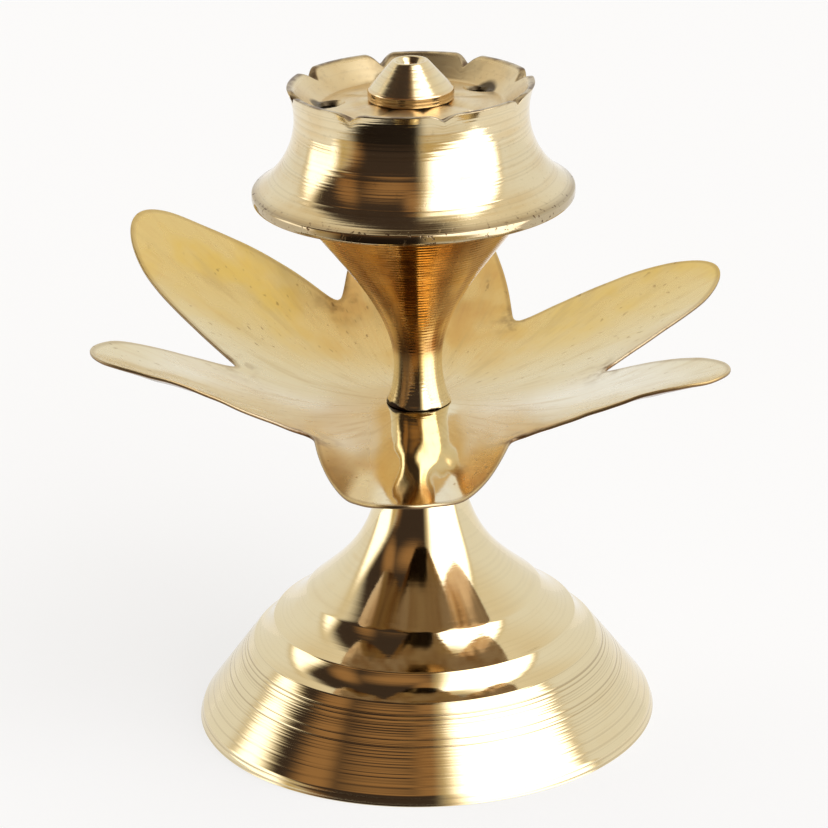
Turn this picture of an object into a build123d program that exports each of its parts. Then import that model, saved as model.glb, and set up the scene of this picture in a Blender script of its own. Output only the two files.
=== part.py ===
"""Incense stick holder: a turned brass stand with a flower of sheet petals.

A screw comes up through the hollow foot and the flower and draws the stem down on both.
The bell-shaped cup sits on the flared top of the stem, held by the cone nipple in its middle.
The upright axis is +Z, the origin is the centre of the foot's lower edge, sizes are in millimetres.
"""
import os
from math import atan2, degrees, hypot, radians, sin

from build123d import *

# Hollow foot, a turned cone with two hollow bands below a flared neck
foot_radius = 31.0
foot_lip_height = 1.4
foot_lip_taper = 0.5
foot_wall = 2.6
lower_ring_radius = 23.2
lower_ring_height = 11.1
lower_band_width = 2.8
lower_band_height = 3.0
upper_band_width = 4.6
upper_band_height = 3.8
band_hollow = 0.35
flare_rise = 7.1
flare_radius = 8.7
flare_slope = 1.25
neck_radius = 5.0
neck_height = 43.9
web_thickness = 17.9

# Clamp screw with a slotted cheese head, and its washer
screw_radius = 2.0
screw_head_radius = 3.5
screw_head_height = 2.6
screw_slot_width = 1.1
screw_slot_depth = 1.2
screw_tip_chamfer = 0.5
thread_engagement = 5.8
washer_radius = 4.5
washer_thickness = 0.8

# Petal flower, cut from sheet and bent up by hand, so each petal rises its own way
sheet_thickness = 0.5
petal_reach = 45.8
petal_length = 29.4
petal_half_width = 11.9
petal_notch_round = 1.2
petal_angles = (-92.0, -33.0, 26.5, 86.0, 146.0, 207.0)
petal_rises = (3.8, 11.9, 11.2, 17.0, 19.0, 15.0)
petal_twists = (0.0, -0.4, 0.4, 7.0, -1.9, -0.4)
petal_crowns = (-2.0, 3.2, 0.5, 1.5, -2.3, 3.8)
hub_flat_radius = 9.2
hub_bend_width = 11.7
bend_grid_steps = 36

# Stem, a solid trumpet
stem_foot_radius = 4.35
stem_waist_radius = 3.25
stem_waist_rise = 6.6
stem_swell_radius = 6.7
stem_swell_rise = 15.6
stem_top_radius = 15.8
stem_height = 28.2

# Cup, a bell with a scalloped rim and a ring of drilled stick holes
skirt_radius = 21.0
skirt_edge_round = 0.5
skirt_edge_height = 1.4
bell_radius = 16.9
bell_rise = 5.4
waist_radius = 15.2
waist_rise = 11.2
rim_radius = 16.0
rim_wall = 0.7
cup_height = 15.2
floor_radius = 12.0
floor_depth = 2.8
floor_dome = 0.9
scallop_count = 8
scallop_angle = 15.0
scallop_width = 4.4
scallop_depth = 1.6
scallop_shoulder = 0.35
stick_hole_radius = 1.225
stick_hole_depth = 9.0
stick_hole_circle = 10.5
stick_hole_count = 5
stick_hole_angle = 34.0

# Cone nipple, turned with a threaded shank
nipple_radius = 5.6
nipple_band_height = 1.3
nipple_tip_radius = 2.3
nipple_height = 5.0
nipple_countersink_radius = 1.9
nipple_countersink_depth = 0.9
centre_hole_radius = 1.1
centre_hole_depth = 9.0
shank_radius = 2.5
shank_engagement = 8.0

# Clearances
seat_play = 0.05
screw_play = 0.25
thread_play = 0.05
shank_play = 0.1
washer_play = 0.5
drill_allowance = 1.0

# Levels that follow from the sizes above
middle_ring_radius = lower_ring_radius - lower_band_width
middle_ring_height = lower_ring_height + lower_band_height
upper_ring_radius = middle_ring_radius - upper_band_width
upper_ring_height = middle_ring_height + upper_band_height
web_height = neck_height - web_thickness
sheet_height = neck_height + seat_play
stem_base = sheet_height + sheet_thickness + seat_play
cup_base = stem_base + stem_height
cup_floor = cup_base + cup_height - floor_depth
nipple_base = cup_floor + floor_dome


def turned(*outline):
    """Solid of revolution from a closed outline of radius and height."""
    return revolve(Plane.XZ * make_face(list(outline)), Axis.Z)


def drilled(radius, bottom, top):
    """Round drill along the axis between two heights."""
    return Pos(0, 0, bottom) * Cylinder(radius, top - bottom, align=(Align.CENTER, Align.CENTER, Align.MIN))


def make_base_foot():
    """Thin cast cone, open below, with a solid neck bored for the screw."""
    bore = screw_radius + screw_play
    seat = washer_radius + washer_play
    lip = (foot_radius - foot_lip_taper, foot_lip_height)
    lower_ring = (lower_ring_radius, lower_ring_height)
    middle_ring = (middle_ring_radius, middle_ring_height)
    upper_ring = (upper_ring_radius, upper_ring_height)
    flare = (flare_radius, upper_ring_height + flare_rise)
    neck = (neck_radius, neck_height)
    inside = Polyline(
        neck,
        (bore, neck_height),
        (bore, web_height),
        (seat, web_height),
        (upper_ring_radius - foot_wall, upper_ring_height),
        (lower_ring_radius - foot_wall, lower_ring_height),
        (foot_radius - foot_wall, 0),
        (foot_radius, 0),
        lip,
        lower_ring,
    )
    return turned(
        *inside.edges(),
        SagittaArc(lower_ring, middle_ring, band_hollow),
        SagittaArc(middle_ring, upper_ring, band_hollow),
        Spline(upper_ring, flare, neck, tangents=((-flare_slope, 1), (0, 1))),
    )


def make_foot_washer():
    """Plain washer against the ceiling of the hollow foot."""
    ring = Cylinder(washer_radius, washer_thickness) - Cylinder(screw_radius + screw_play, washer_thickness)
    return Pos(0, 0, web_height - washer_thickness / 2) * ring


def make_clamp_screw():
    """Slotted cheese-head screw, put in from below and reaching into the stem."""
    seat = web_height - washer_thickness - seat_play
    tip = stem_base + thread_engagement
    head = seat - screw_head_height
    body = turned(
        *Polyline(
            (0, head),
            (screw_head_radius, head),
            (screw_head_radius, seat),
            (screw_radius, seat),
            (screw_radius, tip - screw_tip_chamfer),
            (screw_radius - screw_tip_chamfer, tip),
            (0, tip),
            close=True,
        ).edges()
    )
    slot = Box(3 * screw_head_radius, screw_slot_width, 2 * screw_slot_depth)
    return body - Pos(0, 0, head) * slot


def bend_share(radius):
    """Run of a petal past the hub's bend: flat hub, round bend, then a straight slope."""
    past = max(radius - hub_flat_radius, 0.0)
    if past < hub_bend_width:
        return past * past / (2 * hub_bend_width)
    return past - hub_bend_width / 2


def petal_lift(place, turn, radius):
    """Height that one petal's bend gives a point: its rise, its twist and its crown across."""
    across = radius * sin(radians(turn - petal_angles[place])) / petal_half_width
    tip_lift = petal_rises[place] + petal_twists[place] * across + petal_crowns[place] * across * across
    return tip_lift * bend_share(radius) / bend_share(petal_reach)


def sheet_level(x, y):
    """Height of the bent sheet, going smoothly from each petal's bend to its neighbour's."""
    turn = degrees(atan2(y, x))
    radius = hypot(x, y)
    places = range(len(petal_angles))
    near = min(places, key=lambda place: (turn - petal_angles[place]) % 360)
    after = (near + 1) % len(petal_angles)
    share = (turn - petal_angles[near]) % 360 / ((petal_angles[after] - petal_angles[near]) % 360)
    blend = share * share * (3 - 2 * share)
    lift = petal_lift(near, turn, radius) * (1 - blend) + petal_lift(after, turn, radius) * blend
    return sheet_height + lift


def make_petal_plate():
    """Bent sheet trimmed to the petals' outline, with the screw hole in its hub."""
    span = petal_reach + petal_notch_round
    grid = [span * (2 * step / bend_grid_steps - 1) for step in range(bend_grid_steps + 1)]
    bent = Face.make_surface_from_array_of_points([[(x, y, sheet_level(x, y)) for x in grid] for y in grid])
    sheet = extrude(bent, amount=sheet_thickness, dir=(0, 0, 1))
    petal = Pos(petal_reach - petal_length, 0) * Ellipse(petal_length, petal_half_width)
    flower = Sketch() + [Rot(0, 0, angle) * petal for angle in petal_angles]
    trimmer = Pos(0, 0, sheet_height - sheet_thickness) * extrude(flower, amount=2 * max(petal_rises))
    trimmer = fillet(trimmer.edges().filter_by(Axis.Z), petal_notch_round)
    hole = drilled(screw_radius + screw_play, sheet_height - sheet_thickness, sheet_height + 2 * sheet_thickness)
    return sheet & trimmer - hole


def make_stem():
    """Solid trumpet, tapped below for the clamp screw and above for the nipple."""
    foot = (stem_foot_radius, stem_base)
    waist = (stem_waist_radius, stem_base + stem_waist_rise)
    swell = (stem_swell_radius, stem_base + stem_swell_rise)
    top = (stem_top_radius, cup_base)
    trumpet = turned(
        *Polyline(top, (0, cup_base), (0, stem_base), foot).edges(),
        Spline(foot, waist, swell, top),
    )
    lower_socket = drilled(
        screw_radius + thread_play,
        stem_base,
        stem_base + thread_engagement + drill_allowance,
    )
    upper_socket = drilled(
        shank_radius + thread_play,
        cup_base - shank_engagement - drill_allowance,
        cup_base,
    )
    return trumpet - lower_socket - upper_socket


def make_scallops():
    """Cutters for the notches round the rim, each with two rounded shoulders."""
    top = cup_base + cup_height
    left = (-scallop_width / 2, top)
    right = (scallop_width / 2, top)
    root = (0, top - scallop_depth)
    over = top + scallop_depth
    lid = Polyline(right, (right[0], over), (left[0], over), left)
    outline = [
        *lid.edges(),
        SagittaArc(left, root, scallop_shoulder),
        SagittaArc(root, right, scallop_shoulder),
    ]
    notch = extrude(Plane.YZ * make_face(outline), amount=2 * rim_radius)
    return [Rot(0, 0, scallop_angle + place * 360 / scallop_count) * notch for place in range(scallop_count)]


def make_cup():
    """Bell with a flat underside, a scalloped rim, stick holes and a bore for the shank."""
    bore = shank_radius + shank_play
    rim_top = cup_base + cup_height
    edge_top = (skirt_radius, cup_base + skirt_edge_height)
    bell = (bell_radius, cup_base + bell_rise)
    waist = (waist_radius, cup_base + waist_rise)
    rim = (rim_radius, rim_top)
    inside = Polyline(
        rim,
        (rim_radius - rim_wall, rim_top),
        (floor_radius, cup_floor),
        (nipple_radius, nipple_base),
        (bore, nipple_base),
        (bore, cup_base),
        (skirt_radius - skirt_edge_round, cup_base),
    )
    edge_start = (skirt_radius, cup_base + skirt_edge_round)
    body = turned(
        *inside.edges(),
        RadiusArc(inside @ 1, edge_start, -skirt_edge_round),
        Line(edge_start, edge_top),
        Spline(edge_top, bell, waist, rim),
    )
    hole = Pos(stick_hole_circle, 0, 0) * drilled(stick_hole_radius, cup_floor - stick_hole_depth, nipple_base)
    spread = 360 / stick_hole_count
    holes = [Rot(0, 0, stick_hole_angle + spread * place) * hole for place in range(stick_hole_count)]
    return body - holes - make_scallops()


def make_cone_nipple():
    """Cone with a countersunk stick hole, on a band that clamps the cup's floor."""
    tip = nipple_base + nipple_height
    countersink = tip - nipple_countersink_depth
    shank_end = cup_base - shank_engagement
    return turned(
        *Polyline(
            (nipple_countersink_radius, tip),
            (nipple_tip_radius, tip),
            (nipple_radius, nipple_base + nipple_band_height),
            (nipple_radius, nipple_base),
            (shank_radius, nipple_base),
            (shank_radius, shank_end),
            (0, shank_end),
            (0, tip - centre_hole_depth),
            (centre_hole_radius, tip - centre_hole_depth),
            (centre_hole_radius, countersink),
            close=True,
        ).edges()
    )


pieces = {
    "base_foot": make_base_foot(),
    "foot_washer": make_foot_washer(),
    "clamp_screw": make_clamp_screw(),
    "petal_plate": make_petal_plate(),
    "stem": make_stem(),
    "cup": make_cup(),
    "cone_nipple": make_cone_nipple(),
}

os.makedirs("parts", exist_ok=True)
for name, piece in pieces.items():
    export_step(piece, f"parts/{name}.step")
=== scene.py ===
from math import cos, pi, radians, sin

import bmesh
import bpy
import numpy as np
from mathutils import Matrix, Vector


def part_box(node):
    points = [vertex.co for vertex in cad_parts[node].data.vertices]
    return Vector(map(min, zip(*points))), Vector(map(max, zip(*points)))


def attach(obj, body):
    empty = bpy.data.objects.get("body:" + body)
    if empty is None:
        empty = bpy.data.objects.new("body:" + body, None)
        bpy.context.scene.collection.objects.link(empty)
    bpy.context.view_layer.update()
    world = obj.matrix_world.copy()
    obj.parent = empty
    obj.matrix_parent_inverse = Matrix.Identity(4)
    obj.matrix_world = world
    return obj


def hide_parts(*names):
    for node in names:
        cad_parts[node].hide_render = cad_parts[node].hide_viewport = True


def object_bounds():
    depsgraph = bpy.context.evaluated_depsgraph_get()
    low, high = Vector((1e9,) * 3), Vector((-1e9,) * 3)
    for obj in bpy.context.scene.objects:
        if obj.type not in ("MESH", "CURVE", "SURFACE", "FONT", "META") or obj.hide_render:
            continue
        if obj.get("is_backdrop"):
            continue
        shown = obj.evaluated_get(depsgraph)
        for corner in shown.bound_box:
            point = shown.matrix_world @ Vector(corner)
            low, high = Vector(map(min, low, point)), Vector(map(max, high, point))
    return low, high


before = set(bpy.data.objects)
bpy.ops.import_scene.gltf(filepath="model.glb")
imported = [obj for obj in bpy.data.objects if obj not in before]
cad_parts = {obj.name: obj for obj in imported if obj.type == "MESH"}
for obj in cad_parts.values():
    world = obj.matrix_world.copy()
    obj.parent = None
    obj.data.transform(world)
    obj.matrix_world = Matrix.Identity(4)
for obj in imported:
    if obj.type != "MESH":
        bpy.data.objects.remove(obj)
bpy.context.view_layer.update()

# Hollow foot: a thin brass casting, turned outside to a cone, two hollow bands and a flared neck.
# The tool left rings round it and polishing broke the edges, while the inside stays rough from the mould.
# The screw comes up through its neck and clamps all the pieces above. Sizes are in millimetres.
MM = 0.001
FOOT_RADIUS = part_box("base_foot")[1].x / MM
NECK_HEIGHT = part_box("base_foot")[1].z / MM
FOOT_LIP = (FOOT_RADIUS - 0.5, 1.4)
CONE_MIDDLE = (27.0, 6.05)
LOWER_RING = (23.2, 11.1)
MIDDLE_RING = (20.4, 14.1)
UPPER_RING = (15.8, 17.9)
BAND_HOLLOW = 0.35
FLARE = (8.7, 25.0)
FLARE_WAY = (-0.781, 0.625)
NECK_RADIUS = 5.0
SCREW_BORE = 2.25
WEB_HEIGHT = 26.0
WEB_RADIUS = 5.0
FOOT_WALL = 2.6
INNER_UPPER = (UPPER_RING[0] - FOOT_WALL, UPPER_RING[1])
INNER_LOWER = (LOWER_RING[0] - FOOT_WALL, LOWER_RING[1])
INNER_EDGE = (FOOT_RADIUS - FOOT_WALL, 0)
CAST_SKIN = 0.22
CAST_GRAIN = 420.0
LINE_DRIFT = 0.05
FULL_MARK = 0.03
MERGE_GAP = 0.002
SHARP_CORNER = 40.0
SOFTENING_PASSES = 2
FOOT_POLISH = 0.05
FOOT_PALE = (0.80, 0.68, 0.43, 1.0)
FOOT_DEEP = (0.72, 0.52, 0.24, 1.0)
FOOT_GRIME = (0.20, 0.12, 0.06, 1.0)
CAST_COLOUR = (0.44, 0.31, 0.15, 1.0)


class Wire:
    """One output of a node tree. Arithmetic on it adds Math nodes, and node() adds any other node."""

    def __init__(self, tree, socket=None):
        self.tree = tree
        self.socket = socket

    def node(self, kind, settings=None, inputs=None, output=0):
        """Adds a node, sets it up, fills or links its sockets and gives one of its outputs."""
        made = self.tree.nodes.new(kind)
        for name, value in (settings or {}).items():
            setattr(made, name, value)
        for name, value in (inputs or {}).items():
            if isinstance(value, Wire):
                self.tree.links.new(value.socket, made.inputs[name])
            else:
                made.inputs[name].default_value = value
        return Wire(self.tree, made.outputs[output] if made.outputs else None)

    def math(self, operation, *others):
        return self.node("ShaderNodeMath", {"operation": operation}, dict(enumerate((self, *others))))

    def xyz(self):
        """The three parts of a vector."""
        parts = self.node("ShaderNodeSeparateXYZ", None, {0: self}).socket.node.outputs
        return [Wire(self.tree, part) for part in parts]

    def vector(self, x, y, z):
        return self.node("ShaderNodeCombineXYZ", None, {0: x, 1: y, 2: z})

    def ease(self, low, high):
        """Smooth step from 0 at low to 1 at high."""
        limits = {"Value": self, "From Min": low, "From Max": high}
        return self.node("ShaderNodeMapRange", {"interpolation_type": "SMOOTHSTEP"}, limits)

    def span(self, low, high):
        """Soft band: it rises over the pair low and falls over the pair high."""
        return self.ease(*low) * (1 - self.ease(*high))

    def between(self, first, second):
        """Colour between two colours, by this share."""
        return self.node("ShaderNodeMix", {"data_type": "RGBA"}, {0: self, 6: first, 7: second}, 2)

    def cloud(self, scale, detail=2.0):
        """Noise read at this vector."""
        return self.node("ShaderNodeTexNoise", None, {"Vector": self, "Scale": scale, "Detail": detail})

    def __add__(self, other):
        return self.math("ADD", other)

    def __sub__(self, other):
        return self.math("SUBTRACT", other)

    def __rsub__(self, other):
        return self.node("ShaderNodeMath", {"operation": "SUBTRACT"}, {0: other, 1: self})

    def __mul__(self, other):
        return self.math("MULTIPLY", other)

    def __truediv__(self, other):
        return self.math("DIVIDE", other)

    def __pow__(self, other):
        return self.math("POWER", other)

    __radd__ = __add__
    __rmul__ = __mul__


def line(start, end, step):
    """Points of a straight stretch of outline, without its end."""
    start = np.array(start)
    end = np.array(end)
    count = max(2, round(np.linalg.norm(end - start) / step))
    return start + np.arange(count)[:, None] / count * (end - start)


def hollow(start, end, depth, step):
    """Points of a shallow hollow between two edges, without its end."""
    points = line(start, end, step)
    share = np.arange(len(points))[:, None] / len(points)
    along = np.array(end) - np.array(start)
    inward = np.array((-along[1], along[0])) / np.linalg.norm(along)
    return points + 4 * depth * share * (1 - share) * inward


def curve(knots, start_way, end_way, step):
    """Points of the smooth curve through the knots that leaves and arrives in the given ways."""
    knots = np.array(knots)
    gaps = np.linalg.norm(np.diff(knots, axis=0), axis=1)
    ways = np.zeros_like(knots)
    pulls = np.eye(len(knots))
    ways[0] = start_way
    ways[-1] = end_way
    for place in range(1, len(knots) - 1):
        before, after = gaps[place - 1:place + 1]
        pulls[place, place - 1:place + 2] = after, 2 * (before + after), before
        rise = after * (knots[place] - knots[place - 1]) / before
        ways[place] = 3 * (rise + before * (knots[place + 1] - knots[place]) / after)
    ways = np.linalg.solve(pulls, ways)
    points = []
    for place, gap in enumerate(gaps):
        count = max(2, round(gap / step))
        t = np.arange(count)[:, None] / count
        ends = knots[place] * (1 - t) ** 2 * (1 + 2 * t) + knots[place + 1] * t ** 2 * (3 - 2 * t)
        points.append(ends + gap * t * (1 - t) * ((1 - t) * ways[place] - t * ways[place + 1]))
    return np.concatenate(points)


def new_tree(name, sockets):
    """Geometry node tree with the given inputs, and a Wire for each of them."""
    tree = bpy.data.node_groups.new(name, "GeometryNodeTree")
    for label, kind in sockets.items():
        tree.interface.new_socket(label, in_out="INPUT", socket_type="NodeSocket" + kind)
    tree.interface.new_socket("Piece", in_out="OUTPUT", socket_type="NodeSocketGeometry")
    outputs = tree.nodes.new("NodeGroupInput").outputs
    return tree, {label: Wire(tree, outputs[label]) for label in sockets}


def close_tree(piece, material):
    """Ends a node tree: smooth faces with sharp corners, no instances, and the piece's material."""
    piece = piece.node("GeometryNodeSetShadeSmooth", {"domain": "FACE"}, {0: piece, "Shade Smooth": True})
    sharp = piece.node("GeometryNodeInputMeshEdgeAngle").math("GREATER_THAN", radians(SHARP_CORNER))
    edges = {0: piece, "Selection": sharp, "Shade Smooth": False}
    piece = piece.node("GeometryNodeSetShadeSmooth", {"domain": "EDGE"}, edges)
    piece = piece.node("GeometryNodeRealizeInstances", None, {0: piece})
    piece = piece.node("GeometryNodeSetMaterial", None, {0: piece, "Material": material})
    piece.node("NodeGroupOutput", None, {0: piece})


def stored(piece, name, value):
    """Keeps a value on the points of a piece under construction, for its material to read."""
    settings = {"data_type": "FLOAT", "domain": "POINT"}
    inputs = {0: piece, "Name": name, "Value": value}
    return piece.node("GeometryNodeStoreNamedAttribute", settings, inputs)


def make_turning_tree():
    """Node tree that spins an outline round the axis and cuts in tool marks, thread and cast skin."""
    sockets = {"Outline": "Geometry", "Points": "Int", "Segments": "Int", "Mark Spacing": "Float"}
    sockets.update({"Thread Pitch": "Float", "Seed": "Float", "Material": "Material"})
    tree, given = new_tree("turning", sockets)
    start = Wire(tree)
    points = given["Points"]
    segments = given["Segments"]
    place = start.node("GeometryNodeInputPosition")
    column, row, _ = place.xyz()
    index = (column + (points - 1) * 0.5).math("ROUND")
    turn = (row / segments + 0.5) * (2 * pi)
    turn_x = turn.math("COSINE")
    turn_y = turn.math("SINE")

    def sampled(value, kind, at):
        settings = {"data_type": kind, "domain": "POINT", "clamp": True}
        return start.node("GeometryNodeSampleIndex", settings, {0: given["Outline"], 1: value, 2: at})

    def noted(name):
        field = start.node("GeometryNodeInputNamedAttribute", {"data_type": "FLOAT"}, {"Name": name})
        return sampled(field, "FLOAT", index)

    radius, _, height = sampled(place, "FLOAT_VECTOR", index).xyz()
    ends = {0: sampled(place, "FLOAT_VECTOR", index + 1), 1: sampled(place, "FLOAT_VECTOR", index - 1)}
    along = start.node("ShaderNodeVectorMath", {"operation": "SUBTRACT"}, ends)
    along = start.node("ShaderNodeVectorMath", {"operation": "NORMALIZE"}, {0: along})
    along_out, _, along_up = along.xyz()
    across = noted("run") / given["Mark Spacing"] + given["Seed"]
    drift_x = turn_x * LINE_DRIFT
    drift_y = turn_y * LINE_DRIFT
    even = start.vector(across, drift_x, drift_y).cloud(1.0, 1.5).ease(0.35, 0.70)
    deep = start.vector(across * 0.8, drift_x, drift_y).cloud(1.0, 0.0).ease(0.53, 0.62)
    scores = even * 0.35 + deep * 0.65
    spiral = height / given["Thread Pitch"] - turn / (2 * pi)
    groove = spiral.math("PINGPONG", 0.5) * 2
    skin = start.vector(radius * turn_x, radius * turn_y, height).cloud(CAST_GRAIN, 3.0)
    cut = noted("marks") * scores + noted("thread") * groove + noted("skin") * skin
    radius = radius - along_up * cut
    height = height + along_out * cut
    spun = start.vector(radius * turn_x, radius * turn_y, height)
    sizes = {"Size X": points - 1, "Size Y": segments, "Vertices X": points, "Vertices Y": segments + 1}
    piece = start.node("GeometryNodeMeshGrid", None, sizes)
    piece = stored(piece, "groove", (even * 0.15 + deep * 0.85) * noted("marks") / (FULL_MARK * MM))
    piece = stored(piece, "rough", noted("skin").math("GREATER_THAN", 0.0))
    piece = start.node("GeometryNodeSetPosition", None, {0: piece, "Position": spun})
    piece = start.node("GeometryNodeMergeByDistance", None, {0: piece, "Distance": MERGE_GAP * MM})
    close_tree(piece, given["Material"])
    return tree


turning = make_turning_tree()


def add_tree(piece, tree, values):
    """Puts a node tree on a piece with its inputs set."""
    added = piece.modifiers.new(tree.name, "NODES")
    added.node_group = tree
    for item in tree.interface.items_tree:
        if item.name in values:
            added[item.identifier] = values[item.name]


def turned(name, stretches, segments, material, spacing=0.5, pitch=1.0, seed=0.0):
    """Piece turned from stretches of outline. A stretch is its points and what the tool did along it."""
    points = np.concatenate([np.array(stretch) for stretch, _ in stretches])
    marks = {"marks": [], "thread": [], "skin": []}
    for stretch, cuts in stretches:
        for kind, depths in marks.items():
            depths.extend([cuts.get(kind, 0.0) * MM] * len(stretch))
    softened = points.copy()
    for _ in range(SOFTENING_PASSES):
        softened[1:-1] = (softened[:-2] + 2 * softened[1:-1] + softened[2:]) / 4
    run = np.concatenate(([0.0], np.cumsum(np.linalg.norm(np.diff(points, axis=0), axis=1))))
    mesh = bpy.data.meshes.new(name)
    mesh.from_pydata([(radius * MM, 0, height * MM) for radius, height in softened], [], [])
    for kind, values in {"run": run * MM, **marks}.items():
        mesh.attributes.new(kind, "FLOAT", "POINT").data.foreach_set("value", np.array(values, np.float32))
    piece = bpy.data.objects.new(name, mesh)
    bpy.context.scene.collection.objects.link(piece)
    values = {"Points": len(points), "Segments": segments, "Mark Spacing": spacing * MM}
    values.update({"Thread Pitch": pitch * MM, "Seed": seed, "Material": material})
    add_tree(piece, turning, values)
    return piece


def settle(piece):
    """Turns what the node trees made into the piece's own mesh, with its faces looking outward."""
    bpy.context.view_layer.update()
    graph = bpy.context.evaluated_depsgraph_get()
    made = piece.evaluated_get(graph)
    mesh = bpy.data.meshes.new_from_object(made, preserve_all_data_layers=True, depsgraph=graph)
    piece.modifiers.clear()
    piece.data = mesh
    work = bmesh.new()
    work.from_mesh(mesh)
    bmesh.ops.recalc_face_normals(work, faces=work.faces)
    work.to_mesh(mesh)
    work.free()


def new_material(name):
    """Empty material, and a Wire to build its nodes from."""
    material = bpy.data.materials.new(name)
    material.use_nodes = True
    material.node_tree.nodes.clear()
    return material, Wire(material.node_tree)


def noted_value(start, name):
    """A value that the mesh carries, read by its material."""
    return start.node("ShaderNodeAttribute", {"attribute_name": name}, None, "Fac")


def metal(start, colour, roughness, height, relief, anisotropy=0.0):
    """Ends a material as bare metal. Height is raised by relief millimetres."""
    bump = {"Strength": 1.0, "Distance": relief * MM, "Height": height}
    normal = start.node("ShaderNodeBump", None, bump)
    surface = {"Base Color": colour, "Roughness": roughness, "Metallic": 1.0, "Normal": normal}
    surface.update({"Anisotropic": anisotropy, "Anisotropic Rotation": 0.25})
    shader = start.node("ShaderNodeBsdfPrincipled", None, surface)
    start.node("ShaderNodeOutputMaterial", None, {"Surface": shader})


def places(start):
    """Where the shaded point is, in millimetres, with its distance from the axis."""
    spot = start.node("ShaderNodeTexCoord", None, None, "Object")
    spot = start.node("ShaderNodeVectorMath", {"operation": "SCALE"}, {0: spot, "Scale": 1 / MM})
    x, y, z = spot.xyz()
    return spot, x, y, z, (x * x + y * y).math("SQRT") + 0.001


def about_axis(start, fineness, along):
    """Place in a pattern about the axis: how fine it is round the axis, and how far along it is."""
    _, x, y, _, radius = places(start)
    return start.vector(x / radius * fineness, y / radius * fineness, along)


def turned_lines(start, lean, fineness):
    """Fine and broad lines round a turned piece. Lean is their share of radius against height."""
    _, _, _, z, radius = places(start)
    across = (z + radius * lean) * fineness
    fine = about_axis(start, 0.15, across).cloud(1.0, 4.0)
    broad = about_axis(start, 0.3, across * 0.22).cloud(1.0, 3.0)
    return fine, broad


foot_brass, start = new_material("foot_brass")
spot = places(start)[0]
fine, broad = turned_lines(start, -0.75, 5.0)
grooves = noted_value(start, "groove")
cast = noted_value(start, "rough")
stain = (spot.cloud(0.12, 4.0) * 0.7 + broad * 0.3).ease(0.50, 0.85)
colour = (stain * 0.5).between(FOOT_PALE, FOOT_DEEP)
dirt = grooves * 0.35 + fine.ease(0.62, 0.85) * 0.10
colour = dirt.between(colour, FOOT_GRIME)
crust = spot.cloud(0.9, 4.0).ease(0.3, 0.7) * 0.8
colour = cast.between(colour, crust.between(CAST_COLOUR, FOOT_GRIME))
roughness = FOOT_POLISH + broad * 0.05 + dirt * 0.20 + cast * 0.38
metal(start, colour, roughness, fine, relief=0.004, anisotropy=0.3)

foot = turned(
    "hollow_foot",
    [
        (line(INNER_EDGE, (FOOT_RADIUS, 0), 0.25), {}),
        (line((FOOT_RADIUS, 0), FOOT_LIP, 0.12), {"marks": 0.03}),
        (line(FOOT_LIP, CONE_MIDDLE, 0.08), {"marks": 0.018}),
        (line(CONE_MIDDLE, LOWER_RING, 0.06), {"marks": 0.040}),
        (hollow(LOWER_RING, MIDDLE_RING, BAND_HOLLOW, 0.10), {"marks": 0.004}),
        (hollow(MIDDLE_RING, UPPER_RING, BAND_HOLLOW, 0.10), {"marks": 0.004}),
        (curve((UPPER_RING, FLARE, (NECK_RADIUS, NECK_HEIGHT)), FLARE_WAY, (0, 1), 0.30), {"marks": 0.004}),
        (line((NECK_RADIUS, NECK_HEIGHT), (SCREW_BORE, NECK_HEIGHT), 0.25), {}),
        (line((SCREW_BORE, NECK_HEIGHT), (SCREW_BORE, WEB_HEIGHT), 1.5), {}),
        (line((SCREW_BORE, WEB_HEIGHT), (WEB_RADIUS, WEB_HEIGHT), 0.4), {}),
        (line((WEB_RADIUS, WEB_HEIGHT), INNER_UPPER, 0.7), {"skin": CAST_SKIN}),
        (line(INNER_UPPER, INNER_LOWER, 0.7), {"skin": CAST_SKIN}),
        (line(INNER_LOWER, INNER_EDGE, 0.7), {"skin": CAST_SKIN}),
        ([INNER_EDGE], {}),
    ],
    segments=200,
    material=foot_brass,
    spacing=0.26,
    seed=3.0,
)
settle(foot)
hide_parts("base_foot")
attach(foot, "foot")

# Washer: stamped from steel sheet and zinc plated, so its edges are slightly rounded.
# It lies loose against the ceiling of the hollow foot and spreads the pull of the screw head.
WASHER_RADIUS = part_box("foot_washer")[1].x / MM
WASHER_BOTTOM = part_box("foot_washer")[0].z / MM
WASHER_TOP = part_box("foot_washer")[1].z / MM
ZINC = (0.58, 0.58, 0.56, 1.0)
ZINC_DULL = (0.36, 0.35, 0.32, 1.0)

washer_zinc, start = new_material("washer_zinc")
spot = places(start)[0]
bloom = spot.cloud(1.1, 4.0).ease(0.35, 0.70)
colour = bloom.between(ZINC, ZINC_DULL)
metal(start, colour, 0.28 + bloom * 0.22, spot.cloud(6.0, 3.0), relief=0.01)

washer = turned(
    "plain_washer",
    [
        (line((SCREW_BORE, WASHER_BOTTOM), (WASHER_RADIUS, WASHER_BOTTOM), 0.1), {}),
        (line((WASHER_RADIUS, WASHER_BOTTOM), (WASHER_RADIUS, WASHER_TOP), 0.1), {}),
        (line((WASHER_RADIUS, WASHER_TOP), (SCREW_BORE, WASHER_TOP), 0.1), {}),
        (line((SCREW_BORE, WASHER_TOP), (SCREW_BORE, WASHER_BOTTOM), 0.1), {}),
        ([(SCREW_BORE, WASHER_BOTTOM)], {}),
    ],
    segments=96,
    material=washer_zinc,
)
settle(washer)
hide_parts("foot_washer")
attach(washer, "foot")

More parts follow.
